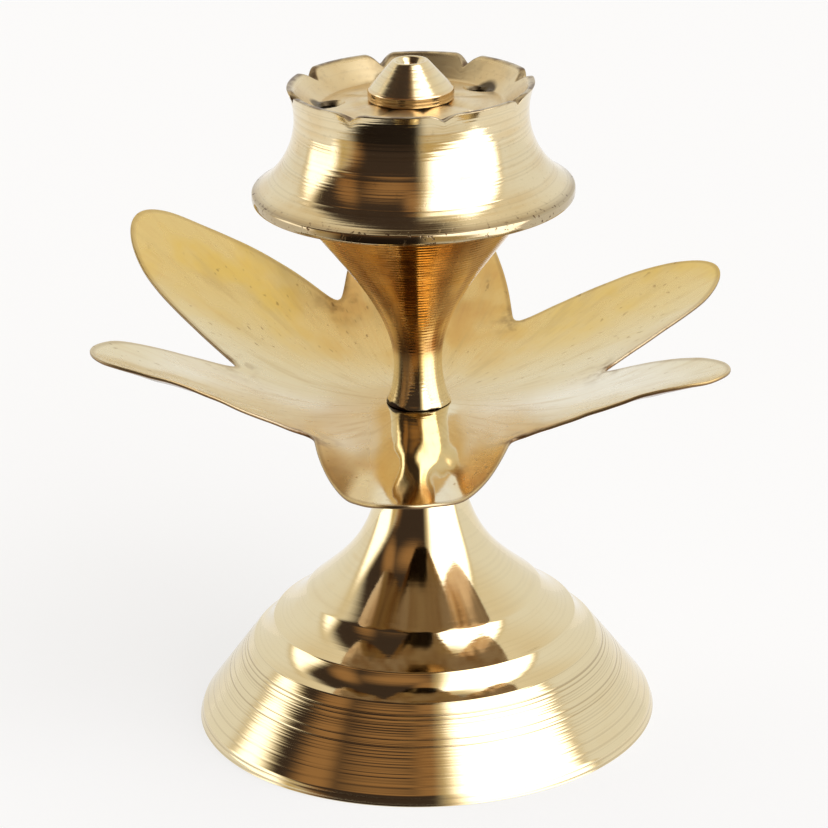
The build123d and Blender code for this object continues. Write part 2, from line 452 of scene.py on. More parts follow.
# Clamp screw: a slotted cheese-head machine screw of plated steel, with a rolled thread.
# It is put in from below and its thread draws the stem down on the petals and the foot.
SCREW_HEAD_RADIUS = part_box("clamp_screw")[1].x / MM
SCREW_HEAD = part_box("clamp_screw")[0].z / MM
SCREW_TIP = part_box("clamp_screw")[1].z / MM
SCREW_SEAT = SCREW_HEAD + 2.6
SCREW_RADIUS = 2.0
SCREW_CHAMFER = 0.5
SCREW_PITCH = 0.7
SCREW_TIP_RADIUS = SCREW_RADIUS - SCREW_CHAMFER
THREAD_START = 28.0
THREAD_END = SCREW_TIP - SCREW_CHAMFER
THREAD_DEPTH = 0.38
SLOT_WIDTH = 1.1
SLOT_DEPTH = 1.2
SLOT_LENGTH = 10.0


def cut_away(piece, cutter):
    """Cuts one solid out of another, in a node tree."""
    solids = {"Mesh 1": piece, "Mesh 2": cutter}
    return piece.node("GeometryNodeMeshBoolean", {"operation": "DIFFERENCE", "solver": "EXACT"}, solids)


slot_sizes = dict.fromkeys(("Width", "Depth", "Length", "Bottom"), "Float")
slot_tree, given = new_tree("screw_slot", {"Piece": "Geometry", **slot_sizes, "Material": "Material"})
start = Wire(slot_tree)
blade_size = start.vector(given["Length"], given["Width"], given["Depth"] * 2)
blade = start.node("GeometryNodeMeshCube", None, {0: blade_size})
lowered = {0: blade, "Translation": start.vector(0.0, 0.0, given["Bottom"])}
blade = start.node("GeometryNodeTransform", None, lowered)
close_tree(cut_away(given["Piece"], blade), given["Material"])

screw_zinc, start = new_material("screw_zinc")
spot = places(start)[0]
fine, broad = turned_lines(start, 0.6, 6.0)
bloom = spot.cloud(0.8, 4.0).ease(0.35, 0.70)
colour = bloom.between(ZINC, ZINC_DULL)
metal(start, colour, 0.22 + broad * 0.2, fine, relief=0.008)

screw = turned(
    "clamp_screw_visual",
    [
        (line((0, SCREW_HEAD), (SCREW_HEAD_RADIUS, SCREW_HEAD), 0.15), {}),
        (line((SCREW_HEAD_RADIUS, SCREW_HEAD), (SCREW_HEAD_RADIUS, SCREW_SEAT), 0.15), {}),
        (line((SCREW_HEAD_RADIUS, SCREW_SEAT), (SCREW_RADIUS, SCREW_SEAT), 0.2), {}),
        (line((SCREW_RADIUS, SCREW_SEAT), (SCREW_RADIUS, THREAD_START), 0.4), {}),
        (line((SCREW_RADIUS, THREAD_START), (SCREW_RADIUS, THREAD_END), 0.1), {"thread": THREAD_DEPTH}),
        (line((SCREW_RADIUS, THREAD_END), (SCREW_TIP_RADIUS, SCREW_TIP), 0.15), {}),
        (line((SCREW_TIP_RADIUS, SCREW_TIP), (0, SCREW_TIP), 0.3), {}),
        ([(0, SCREW_TIP)], {}),
    ],
    segments=72,
    material=screw_zinc,
    pitch=SCREW_PITCH,
)
slot_values = {"Width": SLOT_WIDTH * MM, "Depth": SLOT_DEPTH * MM, "Length": SLOT_LENGTH * MM}
slot_values.update({"Bottom": SCREW_HEAD * MM, "Material": screw_zinc})
add_tree(screw, slot_tree, slot_values)
settle(screw)
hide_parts("clamp_screw")
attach(screw, "clamp_screw")

# Petal flower: six petals cut from one thin rolled brass sheet and bent up by hand, each its own way.
# Its hub is clamped between the neck and the stem. The snipped edges are rounded and darkened, partly as
# tarnish and partly as painted shade.
SHEET_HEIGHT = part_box("petal_plate")[0].z / MM
SHEET_THICKNESS = 0.5
PETAL_REACH = 45.78
PETAL_LENGTH = 29.4
PETAL_HALF_WIDTHS = np.array((12.6, 11.9, 11.9, 11.9, 11.9, 11.9))
PETAL_ANGLES = np.radians((-92.5, -33.0, 26.5, 86.0, 146.0, 207.0))
PETAL_RISES = np.array((3.8, 11.9, 11.2, 17.0, 19.0, 15.0))
PETAL_TWISTS = np.array((0.0, -0.4, 0.4, 7.0, -1.9, -0.4))
PETAL_CROWNS = np.array((-2.0, 3.2, 0.5, 1.5, -2.3, 3.8))
HUB_FLAT_RADIUS = 4.6
HUB_BEND_WIDTH = 20.9
BLEND_START = 0.15
NOTCH_SHARPNESS = 18
OUTLINE_SAMPLES = 14400
OUTLINE_POINTS = 760
SHEET_RINGS = 44
RING_CROWDING = 0.85
FACE_INSET = 0.8
DARK_INSET = 0.35
DARK_SHARE = 0.35
ROOT_REACH = 3.0
RIPPLES = ((0.045, 0.55, 0.10, 0.4), (0.035, 1.10, 0.20, 1.9), (0.014, 1.90, -0.30, 4.1))
SIDE_RIPPLE = 0.3
CALM_RADIUS = 8.0
CALM_FADE = 14.0
FRONT_FADE = 10.0
CUT_EDGE = ((0.16, 0.5), (0.05, 0.42), (0.0, 0.2), (0.0, -0.2), (0.05, -0.42), (0.16, -0.5))
EDGE_FADE = 1.5
SHEET_SATIN = 0.27
SHEET_PALE = (0.82, 0.72, 0.48, 1.0)
SHEET_GOLD = (0.84, 0.62, 0.19, 1.0)
SHEET_SHEEN = (0.93, 0.88, 0.73, 1.0)
SHEET_TAN = (0.66, 0.40, 0.16, 1.0)
SHEET_OCHRE = (0.60, 0.45, 0.21, 1.0)
SHEET_FRONT = (0.86, 0.66, 0.27, 1.0)
SHEET_SPECK_AND_SHADE = (0.22, 0.12, 0.05, 1.0)
SHEET_UNDERSIDE_SHADE = (0.19, 0.105, 0.045, 1.0)


def bend_share(radius):
    """Run of a petal past the hub's bend: flat hub, round bend, then a straight slope."""
    past = np.maximum(radius - HUB_FLAT_RADIUS, 0.0)
    return np.where(past < HUB_BEND_WIDTH, past * past / (2 * HUB_BEND_WIDTH), past - HUB_BEND_WIDTH / 2)


def petal_lift(petal, turn, radius):
    """Height that one petal's bend gives: its rise, its twist and its crown across."""
    across = radius * np.sin(turn - PETAL_ANGLES[petal]) / PETAL_HALF_WIDTHS[petal]
    tip_lift = PETAL_RISES[petal] + PETAL_TWISTS[petal] * across + PETAL_CROWNS[petal] * across * across
    return tip_lift * bend_share(radius) / bend_share(PETAL_REACH)


def sheet_level(x, y):
    """Height of the middle of the bent sheet, with the slight ripples that the bending left."""
    turn = np.arctan2(y, x)
    radius = np.hypot(x, y)
    turns_past = (turn[:, None] - PETAL_ANGLES) % (2 * pi)
    near = np.argmin(turns_past, axis=1)
    after = (near + 1) % len(PETAL_ANGLES)
    share = turns_past[np.arange(len(near)), near] / ((PETAL_ANGLES[after] - PETAL_ANGLES[near]) % (2 * pi))
    share = np.clip((share - BLEND_START) / (1 - 2 * BLEND_START), 0.0, 1.0)
    blend = share * share * (3 - 2 * share)
    lift = petal_lift(near, turn, radius) * (1 - blend) + petal_lift(after, turn, radius) * blend
    ripple = sum(size * np.sin(along * x + beside * y + shift) for size, along, beside, shift in RIPPLES)
    free = np.clip((radius - CALM_RADIUS) / CALM_FADE, 0.0, 1.0)
    free = free * (SIDE_RIPPLE + (1 - SIDE_RIPPLE) * np.clip((-y - CALM_RADIUS) / FRONT_FADE, 0.0, 1.0))
    return SHEET_HEIGHT + SHEET_THICKNESS / 2 + lift + ripple * free


def petal_outline(count):
    """Points evenly along the outline of the six petals, and the way out from each."""
    turn = np.linspace(0, 2 * pi, OUTLINE_SAMPLES, endpoint=False)
    middle = PETAL_REACH - PETAL_LENGTH
    off = turn[:, None] - PETAL_ANGLES
    square = (np.cos(off) / PETAL_LENGTH) ** 2 + (np.sin(off) / PETAL_HALF_WIDTHS) ** 2
    lead = middle * np.cos(off) / PETAL_LENGTH ** 2
    reach = (lead + np.sqrt(lead ** 2 + square * (1 - (middle / PETAL_LENGTH) ** 2))) / square
    radius = ((reach / PETAL_REACH) ** NOTCH_SHARPNESS).sum(axis=1) ** (1 / NOTCH_SHARPNESS) * PETAL_REACH
    points = np.stack((radius * np.cos(turn), radius * np.sin(turn)), axis=1)
    closed = np.concatenate((points, points[:1]))
    run = np.concatenate(([0.0], np.cumsum(np.linalg.norm(np.diff(closed, axis=0), axis=1))))
    at = np.linspace(0, run[-1], count, endpoint=False)
    even = np.stack((np.interp(at, run, closed[:, 0]), np.interp(at, run, closed[:, 1])), axis=1)
    along = np.roll(even, -1, axis=0) - np.roll(even, 1, axis=0)
    outward = np.stack((along[:, 1], -along[:, 0]), axis=1)
    return even, outward / np.linalg.norm(outward, axis=1)[:, None]


rim, outward = petal_outline(OUTLINE_POINTS)
hub = rim / np.linalg.norm(rim, axis=1)[:, None] * SCREW_BORE
face_run = rim - outward * FACE_INSET - hub
rings = []
for share in np.linspace(0, 1, SHEET_RINGS):
    rings.append((hub + face_run * share ** RING_CROWDING, SHEET_THICKNESS / 2, 0.0))
# The cut edge and a thin strip inside it carry a darkening: partly tarnish, partly painted shade.
rings.append((rim - outward * DARK_INSET, SHEET_THICKNESS / 2, DARK_SHARE))
for inset, level in CUT_EDGE:
    rings.append((rim - outward * inset, level * SHEET_THICKNESS, 1.0 - abs(level) * EDGE_FADE))
rings.append((rim - outward * DARK_INSET, -SHEET_THICKNESS / 2, 0.0))
for share in np.linspace(1, 0, SHEET_RINGS):
    rings.append((hub + face_run * share ** RING_CROWDING, -SHEET_THICKNESS / 2, 0.0))
flat = np.concatenate([ring for ring, _, _ in rings])
ups = np.repeat([up for _, up, _ in rings], OUTLINE_POINTS)
edge_tarnish_and_shade = np.repeat([edge for _, _, edge in rings], OUTLINE_POINTS)
reach = np.linalg.norm(rim, axis=1)
roots = rim[(reach < np.roll(reach, 1)) & (reach <= np.roll(reach, -1))]
root_gap = np.linalg.norm(flat[:, None] - roots, axis=2).min(axis=1)
notch_root_darkening = np.exp(-(root_gap / ROOT_REACH) ** 2)
spots = np.column_stack((flat, sheet_level(flat[:, 0], flat[:, 1]) + ups)) * MM
step = np.arange(OUTLINE_POINTS)
after = (step + 1) % OUTLINE_POINTS
faces = []
for ring in range(len(rings)):
    low = ring * OUTLINE_POINTS
    high = (ring + 1) % len(rings) * OUTLINE_POINTS
    faces.extend(np.column_stack((low + step, high + step, high + after, low + after)).tolist())
petal_mesh = bpy.data.meshes.new("petal_flower")
petal_mesh.from_pydata(spots.tolist(), [], faces)
underside = (ups < 0).astype(float)
for label, values in (("edge", edge_tarnish_and_shade), ("root", notch_root_darkening), ("under", underside)):
    petal_mesh.attributes.new(label, "FLOAT", "POINT").data.foreach_set("value", values.astype(np.float32))
petal_mesh.shade_smooth()
petals = bpy.data.objects.new("petal_flower", petal_mesh)
bpy.context.scene.collection.objects.link(petals)
settle(petals)

petal_brass, start = new_material("petal_brass")
spot, x, y, _, radius = places(start)
edge = noted_value(start, "edge")
root = noted_value(start, "root")
under = noted_value(start, "under")
grain = about_axis(start, 14, radius * 0.16).cloud(1.0, 4.0)
streak = about_axis(start, 5, radius * 0.10).cloud(1.0, 3.0)
mottle = (spot.cloud(0.16, 4.0) * 0.5 + streak * 0.5).ease(0.42, 0.66)
rear = y.ease(2.0, 20.0)
aside = x.math("ABSOLUTE")
mirror = (1 - y.ease(-4.0, 2.0)) * (1 - aside.ease(4.2, 6.8)) * (1 - under)
# Painted sheen: a pale patch on the petals in front of the hub, off to both sides.
painted_sheen = y.span((-26.0, -18.0), (-6.0, 2.0)) * aside.span((4.0, 10.0), (26.0, 40.0))
fibre = about_axis(start, 55, radius * 0.22).cloud(1.0, 3.0).ease(0.45, 0.80)
patch = about_axis(start, 13, radius * 0.11).cloud(1.0, 5.0).ease(0.50, 0.74)
gold = rear * (0.60 + mottle * 0.30) + mottle * 0.10
tan = y.ease(6.0, 22.0) * (1 - aside.ease(8.0, 20.0)) * (0.3 + mottle * 0.5)
front = (1 - y.ease(-28.0, -20.0)) * aside.ease(2.5, 7.0)
tan = tan + front * mottle * 0.40 + fibre * 0.16
dashes = about_axis(start, 46, radius * 0.9).cloud(1.0, 1.0).ease(0.66, 0.78)
specks = dashes * spot.cloud(0.11, 2.0).ease(0.40, 0.58)
# Darker patches round the roots of the notches between petals.
notch_root_patch = root * spot.cloud(0.45, 3.0).ease(0.42, 0.70)
colour = painted_sheen.between(gold.between(SHEET_PALE, SHEET_GOLD), SHEET_SHEEN)
colour = (front * 0.8).between(colour, SHEET_FRONT)
colour = tan.between(colour, SHEET_TAN)
colour = (patch * 0.40).between(colour, SHEET_OCHRE)
# Dark specks, darker patches at the notch roots, and the cut edge's tarnish with painted shade.
colour = (specks * 0.35 + notch_root_patch * 0.6 + edge * 0.85).between(colour, SHEET_SPECK_AND_SHADE)
# Painted shade: the petals' undersides are turned a dark brown.
colour = (under * (0.88 + mottle * 0.12)).between(colour, SHEET_UNDERSIDE_SHADE)
dull = mottle * 0.03 + specks * 0.2 + notch_root_patch * 0.15 + edge * 0.3
roughness = SHEET_SATIN - mirror * 0.21 - under * 0.12 + dull
metal(start, colour, roughness, grain + spot.cloud(0.45, 2.0), relief=0.006)
petals.data.materials.append(petal_brass)
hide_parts("petal_plate")
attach(petals, "petals")

# Stem: a solid brass trumpet turned from bar and tapped at both ends, polished below and ridged above.
# It stands on the petals' hub and the clamp screw pulls it down. Its spread top carries the cup.
STEM_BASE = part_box("stem")[0].z / MM
STEM_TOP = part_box("stem")[1].z / MM
STEM_TOP_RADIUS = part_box("stem")[1].x / MM
STEM_FOOT_RADIUS = 4.35
STEM_WAIST = (3.25, STEM_BASE + 6.6)
STEM_SWELL = (6.7, STEM_BASE + 15.6)
STEM_START_WAY = (-0.415, 0.910)
STEM_END_WAY = (0.528, 0.849)
SCREW_SOCKET = (2.05, STEM_BASE + 6.8)
SHANK_SOCKET = (2.55, STEM_TOP - 9.0)
STEM_GOLD = (0.80, 0.68, 0.43, 1.0)
STEM_UNDER_CUP_SHADE = (0.75, 0.46, 0.14, 1.0)
STEM_PATINA_AND_SHADOW = (0.025, 0.014, 0.010, 1.0)
STEM_SHADE = (0.28, 0.12, 0.03, 1.0)
STEM_BAND_LEVEL = STEM_BASE + 7.6
STEM_FEED = 0.45
STEM_POLISH = 0.06

stem_brass, start = new_material("stem_brass")
spot, x, _, height, _ = places(start)
fine, broad = turned_lines(start, 0.6, 5.0)
grooves = noted_value(start, "groove")
# The ring at the stem's foot is darkened partly as grime and partly as painted shadow of the gap on the
# hub.
seam_grime_and_shadow = 1 - (height + x * 0.08 + spot.cloud(0.4, 2.0) * 1.2).ease(STEM_BASE + 0.70, STEM_BASE + 0.95)
# Painted shade: the stem turns a deeper, darker orange towards the top, under the cup.
under_cup_shade = (0.75 + spot.cloud(0.25, 3.0).ease(0.4, 0.7) * 0.25) * height.ease(STEM_BASE + 5, STEM_BASE + 11)
# Painted shade: dark stripes round the upper stem.
shade = about_axis(start, 2.2, height * 0.09 + fine * 0.25).cloud(1.0, 3.0).ease(0.42, 0.62) * under_cup_shade
# A dark band round the stem where its polished part meets its ridged part.
dark_band = height.span((STEM_BAND_LEVEL - 1.0, STEM_BAND_LEVEL + 0.6), (STEM_BAND_LEVEL + 0.8, STEM_BAND_LEVEL + 4.0))
colour = under_cup_shade.between(STEM_GOLD, STEM_UNDER_CUP_SHADE)
colour = (shade * 0.75 + dark_band * 0.6).between(colour, STEM_SHADE)
colour = (grooves * 0.40 + fine.ease(0.62, 0.80) * 0.2).between(colour, STEM_PATINA_AND_SHADOW)
colour = seam_grime_and_shadow.between(colour, STEM_PATINA_AND_SHADOW)
roughness = STEM_POLISH + broad * 0.05 + seam_grime_and_shadow * 0.3
metal(start, colour, roughness, fine, relief=0.003, anisotropy=0.2)

trumpet = ((STEM_FOOT_RADIUS, STEM_BASE), STEM_WAIST, STEM_SWELL, (STEM_TOP_RADIUS, STEM_TOP))
flank = curve(trumpet, STEM_START_WAY, STEM_END_WAY, 0.08)
polished = [point for point in flank if point[1] < STEM_BAND_LEVEL]
ridged = [point for point in flank if point[1] >= STEM_BAND_LEVEL]
stem = turned(
    "trumpet_stem",
    [
        (line((0, SCREW_SOCKET[1]), SCREW_SOCKET, 0.5), {}),
        (line(SCREW_SOCKET, (SCREW_SOCKET[0], STEM_BASE), 1.0), {}),
        (line((SCREW_SOCKET[0], STEM_BASE), (STEM_FOOT_RADIUS, STEM_BASE), 0.2), {}),
        (polished, {"marks": 0.006, "thread": 0.008}),
        (ridged, {"marks": 0.010, "thread": 0.030}),
        (line((STEM_TOP_RADIUS, STEM_TOP), (SHANK_SOCKET[0], STEM_TOP), 0.5), {}),
        (line((SHANK_SOCKET[0], STEM_TOP), SHANK_SOCKET, 1.0), {}),
        (line(SHANK_SOCKET, (0, SHANK_SOCKET[1]), 0.5), {}),
        ([(0, SHANK_SOCKET[1])], {}),
    ],
    segments=160,
    material=stem_brass,
    spacing=0.26,
    pitch=STEM_FEED,
    seed=11.0,
)
settle(stem)
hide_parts("stem")
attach(stem, "holder")

# Cup: a heavy brass bell turned from a casting, with a dished floor drilled for sticks around its middle.
# The rim is filed into eight lobes by rounded notches. The nipple's shank holds it down on the stem.
CUP_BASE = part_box("cup")[0].z / MM
RIM_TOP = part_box("cup")[1].z / MM
SKIRT_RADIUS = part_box("cup")[1].x / MM
SKIRT_ROUND = 0.5
SKIRT_EDGE = (SKIRT_RADIUS, CUP_BASE + 1.4)
BELL = (16.9, CUP_BASE + 5.4)
WAIST = (15.2, CUP_BASE + 11.2)
RIM_RADIUS = 16.0
RIM_WALL = 0.7
BELL_WAY = (-0.876, 0.482)
RIM_WAY = (0.405, 0.914)
DISH_RADIUS = RIM_RADIUS - RIM_WALL
FLOOR = (12.0, RIM_TOP - 2.8)
NIPPLE_RADIUS = 5.6
NIPPLE_BASE = FLOOR[1] + 0.9
SHANK_BORE = 2.6
LOBES = 8
LOBE_ANGLE = 15.0
NOTCH_WIDTH = 4.4
NOTCH_DEPTH = 1.6
NOTCH_POWER = 2.1
NOTCH_ROUND = 0.2
NOTCH_UNEVEN = 0.18
LEAST_CUT = 1e-9
RIM_BAND = 2.6
RIM_EDGE = 0.22
STICK_HOLES = 5
HOLE_ANGLE = 34.0
HOLE_CIRCLE = 10.5
HOLE_RADIUS = 1.225
HOLE_DEPTH = 9.0
HOLE_LIP = 0.6
LIP_SINK = 0.5
LIP_CUTTER = 8
HOLE_FACETS = 48
HOLE_RING_SHIFT = 0.6
CUP_POLISH = 0.08
CUP_PALE = (0.80, 0.68, 0.44, 1.0)
CUP_DEEP = (0.68, 0.48, 0.22, 1.0)
CUP_GRIME = (0.16, 0.10, 0.055, 1.0)
CUP_UNDERSIDE_SHADE = (0.46, 0.30, 0.13, 1.0)
CUP_HOLE_DARK = (0.035, 0.022, 0.014, 1.0)

RIM_FLARE = RIM_WAY[0] / RIM_WAY[1]
RIM_DROP = RIM_TOP - WAIST[1]
RIM_BEND = (WAIST[0] - RIM_RADIUS + RIM_FLARE * RIM_DROP) / RIM_DROP ** 2
DISH_LEAN = (DISH_RADIUS - FLOOR[0]) / (RIM_TOP - FLOOR[1])
rim_values = {
    "Lobes": LOBES,
    "Angle": radians(LOBE_ANGLE),
    "Width": NOTCH_WIDTH * MM,
    "Depth": NOTCH_DEPTH * MM,
    "Power": NOTCH_POWER,
    "Round": NOTCH_ROUND * MM,
    "Band": RIM_BAND * MM,
    "Top": RIM_TOP * MM,
    "Edge": RIM_EDGE * MM,
    "Rim": RIM_RADIUS * MM,
    "Wall": RIM_WALL * MM,
    "Flare": RIM_FLARE,
    "Bend": RIM_BEND / MM,
    "Lean": DISH_LEAN,
}
rim_sockets = {"Piece": "Geometry", **dict.fromkeys(rim_values, "Float"), "Material": "Material"}
rim_tree, given = new_tree("rim_lobes", rim_sockets)
start = Wire(rim_tree)
x, y, z = start.node("GeometryNodeInputPosition").xyz()
radius = (x * x + y * y).math("SQRT")
cell = (y.math("ARCTAN2", x) - given["Angle"]) * given["Lobes"] / (2 * pi)
aside = (cell - cell.math("ROUND")) * (2 * pi) / given["Lobes"] * radius
aside = (aside * aside + given["Round"] * given["Round"]).math("SQRT")
slack = (1 - aside / (given["Width"] * 0.5)).math("MAXIMUM", 0.0)
share = ((z - given["Top"]) / given["Band"] + 1).math("MAXIMUM", 0.0)
filed = given["Depth"] * (1 - NOTCH_UNEVEN + y / radius * NOTCH_UNEVEN)
lower = filed * slack ** given["Power"] * share


def rim_walls(drop):
    """Radius of the outer and of the inner wall of the rim at a depth below its top."""
    outer = given["Rim"] - given["Flare"] * drop + given["Bend"] * drop * drop
    return outer, given["Rim"] - given["Wall"] - given["Lean"] * drop


outer, inner = rim_walls(given["Top"] - z)
inward = (outer - radius) / (outer - inner)
outer, inner = rim_walls(given["Top"] - z + lower)
moved = (outer - inward * (outer - inner)) / radius
notched = lower.math("GREATER_THAN", LEAST_CUT)
moved = moved * notched + (1 - notched)
lowered = start.vector(x * moved, y * moved, z - lower)
brow = ((z - given["Top"]) / given["Edge"] + 1).math("MAXIMUM", 0.0)
piece = stored(given["Piece"], "brow", brow)
piece = start.node("GeometryNodeSetPosition", None, {0: piece, "Position": lowered})
close_tree(piece, given["Material"])

hole_values = {
    "Circle": HOLE_CIRCLE * MM,
    "Angle": radians(HOLE_ANGLE),
    "Radius": HOLE_RADIUS * MM,
    "Depth": HOLE_DEPTH * MM,
    "Floor": FLOOR[1] * MM,
    "Lip": HOLE_LIP * MM,
}
hole_sockets = {"Piece": "Geometry", "Holes": "Int", **dict.fromkeys(hole_values, "Float")}
hole_tree, given = new_tree("stick_holes", {**hole_sockets, "Material": "Material"})
start = Wire(hole_tree)
ring = start.node("GeometryNodeMeshCircle", None, {"Vertices": given["Holes"], "Radius": given["Circle"]})
stand = {0: ring, "Translation": start.vector(0.0, 0.0, given["Floor"])}
stand["Rotation"] = start.vector(0.0, 0.0, given["Angle"])
ring = start.node("GeometryNodeTransform", None, stand)
drill_size = {"Vertices": HOLE_FACETS, "Radius": given["Radius"], "Depth": given["Depth"] * 2}
drill = start.node("GeometryNodeMeshCylinder", None, drill_size)
reach = given["Lip"] * LIP_CUTTER
lip_size = {"Vertices": HOLE_FACETS, "Radius Bottom": given["Radius"], "Depth": reach}
lip_size["Radius Top"] = given["Radius"] + reach
lip = start.node("GeometryNodeMeshCone", None, lip_size)
sunk = {0: lip, "Translation": start.vector(0.0, 0.0, given["Lip"] * -LIP_SINK)}
lip = start.node("GeometryNodeTransform", None, sunk)
holed = given["Piece"]
for cutter in (drill, lip):
    placed = start.node("GeometryNodeInstanceOnPoints", None, {"Points": ring, "Instance": cutter})
    placed = start.node("GeometryNodeRealizeInstances", None, {0: placed})
    holed = cut_away(holed, placed)
close_tree(holed, given["Material"])

cup_brass, start = new_material("cup_brass")
spot, x, y, height, radius = places(start)
cell = (y.math("ARCTAN2", x) - radians(HOLE_ANGLE)) * STICK_HOLES / (2 * pi)
off = (cell - cell.math("ROUND")) * (2 * pi) / STICK_HOLES
beyond = radius * off.math("COSINE") - HOLE_CIRCLE - HOLE_RING_SHIFT
beside = radius * off.math("SINE")
hole_gap = (beyond * beyond + beside * beside).math("SQRT") + spot.cloud(0.8, 2.0) * 0.5
fine, broad = turned_lines(start, -0.7, 5.5)
grooves = noted_value(start, "groove")
skirt = radius.ease(SKIRT_RADIUS - 1.6, SKIRT_RADIUS - 0.1)
skirt = skirt * (1 - height.ease(CUP_BASE + 1.6, CUP_BASE + 2.6))
pits = spot.cloud(1.7, 3.0).ease(0.60, 0.70) * (0.15 + skirt * 0.85)
dish = 1 - radius.ease(DISH_RADIUS - 0.7, DISH_RADIUS + 0.1)
dish = dish * height.ease(FLOOR[1] - 1.0, FLOOR[1] - 0.5)
stain = (spot.cloud(0.20, 4.0) * 0.6 + broad * 0.5).ease(0.45, 0.75)
colour = (stain * 0.5 + dish * 0.15).between(CUP_PALE, CUP_DEEP)
brow = noted_value(start, "brow") * (0.45 + spot.cloud(0.55, 3.0).ease(0.40, 0.62) * 0.50)
dirt = grooves * 0.20 + fine.ease(0.60, 0.80) * 0.12 + pits * 0.7 + skirt * 0.45 + brow
dirt = dirt + dish * spot.cloud(0.5, 3.0).ease(0.5, 0.8) * 0.2
colour = dirt.between(colour, CUP_GRIME)
# Painted shade: the cup's flat underside is turned a dark brown.
below = 1 - height.ease(CUP_BASE + 0.05, CUP_BASE + 0.3)
colour = below.between(colour, CUP_UNDERSIDE_SHADE)
# Painted shade: the insides of the stick holes are painted near black.
drilled = 1 - height.ease(FLOOR[1] - 1.1, FLOOR[1] - 0.3)
drilled = drilled * height.ease(CUP_BASE + 1.0, CUP_BASE + 2.0)
drilled = drilled * (1 - radius.ease(FLOOR[0] + 0.1, FLOOR[0] + 0.5))
# A dark ring round each hole, reaching onto the wall behind it.
hole_ring_dark = (1 - hole_gap.ease(1.75, 2.45)) * height.ease(FLOOR[1] - 2.0, FLOOR[1] - 1.5)
colour = (hole_ring_dark * 0.9).between(colour, CUP_HOLE_DARK)
colour = drilled.between(colour, CUP_HOLE_DARK)
dull = pits * 0.3 + dish * 0.20 + below * 0.25 + drilled * 0.4 + brow * 0.2
roughness = CUP_POLISH + broad * 0.06 + dull
metal(start, colour, roughness, fine - pits, relief=0.010, anisotropy=0.4)

bell = curve((SKIRT_EDGE, BELL, WAIST, (RIM_RADIUS, RIM_TOP)), BELL_WAY, RIM_WAY, 0.10)
cup = turned(
    "bell_cup",
    [
        (line((SHANK_BORE, CUP_BASE), (SKIRT_RADIUS - SKIRT_ROUND, CUP_BASE), 0.8), {}),
        ([(SKIRT_RADIUS - SKIRT_ROUND * (1 - sin(turn)), CUP_BASE + SKIRT_ROUND * (1 - cos(turn)))
          for turn in np.linspace(0, pi / 2, 6, endpoint=False)], {}),
        (line((SKIRT_RADIUS, CUP_BASE + SKIRT_ROUND), SKIRT_EDGE, 0.15), {}),
        (bell, {"marks": 0.018}),
        (line((RIM_RADIUS, RIM_TOP), (DISH_RADIUS, RIM_TOP), 0.12), {}),
        (line((DISH_RADIUS, RIM_TOP), FLOOR, 0.2), {"marks": 0.008}),
        (line(FLOOR, (NIPPLE_RADIUS, NIPPLE_BASE), 0.2), {"marks": 0.008}),
        (line((NIPPLE_RADIUS, NIPPLE_BASE), (SHANK_BORE, NIPPLE_BASE), 0.5), {}),
        (line((SHANK_BORE, NIPPLE_BASE), (SHANK_BORE, CUP_BASE), 1.5), {}),
        ([(SHANK_BORE, CUP_BASE)], {}),
    ],
    segments=360,
    material=cup_brass,
    spacing=0.3,
    seed=23.0,
)
add_tree(cup, rim_tree, {**rim_values, "Material": cup_brass})
add_tree(cup, hole_tree, {"Holes": STICK_HOLES, **hole_values, "Material": cup_brass})
settle(cup)
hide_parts("cup")
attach(cup, "holder")

# Cone nipple: turned from brass bar, with a plain band, a cone and a countersunk hole for one stick.
# Its threaded shank goes down through the cup into the stem, so it clamps the cup's floor.
NIPPLE_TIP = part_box("cone_nipple")[1].z / MM
SHANK_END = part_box("cone_nipple")[0].z / MM
SHANK_RADIUS = 2.5
SHANK_PITCH = 0.8
SHANK_CHAMFER = 0.4
SHANK_THREAD = 0.4
SHANK_EDGE = (SHANK_RADIUS - SHANK_CHAMFER, SHANK_END)
SHANK_SIDE = (SHANK_RADIUS, SHANK_END + SHANK_CHAMFER)
BAND_TOP = NIPPLE_BASE + 1.3
TIP_RADIUS = 2.3
SINK_RADIUS = 1.9
SINK_DEPTH = 0.9
CENTRE_HOLE_RADIUS = 1.1
CENTRE_HOLE_END = NIPPLE_TIP - 9.0
SINK_FOOT = (CENTRE_HOLE_RADIUS, NIPPLE_TIP - SINK_DEPTH)
NIPPLE_POLISH = 0.13
NIPPLE_PALE = (0.82, 0.70, 0.45, 1.0)
NIPPLE_DEEP = (0.78, 0.54, 0.30, 1.0)
NIPPLE_GRIME = (0.18, 0.11, 0.06, 1.0)

nipple_brass, start = new_material("nipple_brass")
height = places(start)[3]
fine, broad = turned_lines(start, -0.75, 6.0)
grooves = noted_value(start, "groove")
band = 1 - height.ease(BAND_TOP - 0.2, BAND_TOP + 0.4)
colour = (band * 0.6 + broad.ease(0.4, 0.7) * 0.3).between(NIPPLE_PALE, NIPPLE_DEEP)
colour = (grooves * 0.25 + fine.ease(0.60, 0.80) * 0.25).between(colour, NIPPLE_GRIME)
metal(start, colour, NIPPLE_POLISH + broad * 0.08, fine, relief=0.004, anisotropy=0.3)

